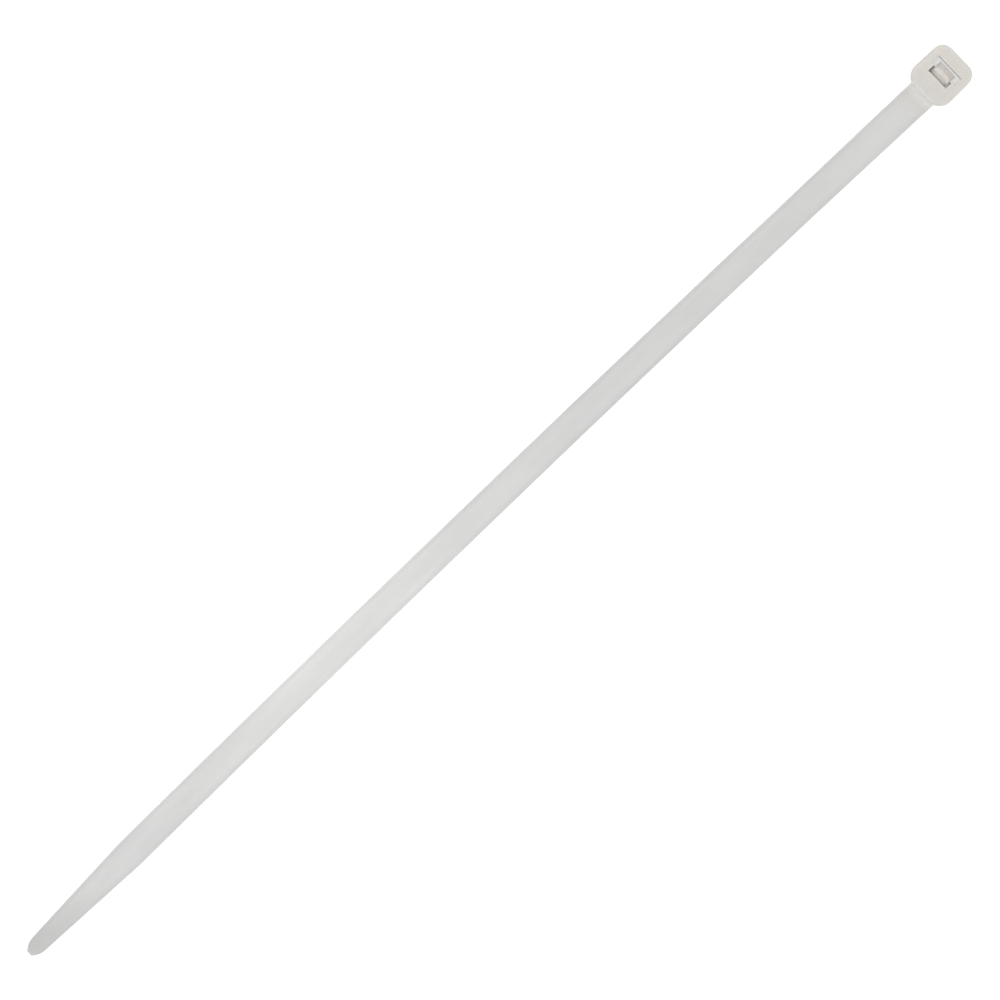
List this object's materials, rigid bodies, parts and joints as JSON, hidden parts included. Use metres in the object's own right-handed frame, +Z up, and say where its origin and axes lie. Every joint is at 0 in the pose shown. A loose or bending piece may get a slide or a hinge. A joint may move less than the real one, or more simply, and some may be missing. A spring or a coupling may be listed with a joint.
{
  "type": "cable tie",
  "caption": "One-piece natural nylon cable tie with a smooth face, a toothed band between rails, a tapered tail and a ratchet head.",
  "frame": {"origin": "middle of the strap passage through the head, on the surface that the tie lies on, which is the head's entry face", "axes": "+X along the strap towards the head's far end, +Y across the strap, +Z up out of the head's exit face and the strap's smooth face"},
  "size_m": [0.2, 0.0078, 0.0053],
  "materials": {
    "nylon": "satin, milky and slightly translucent undyed nylon"
  },
  "bodies": {
    "root": {"cable_tie": "nylon"}
  },
  "joints": []
}
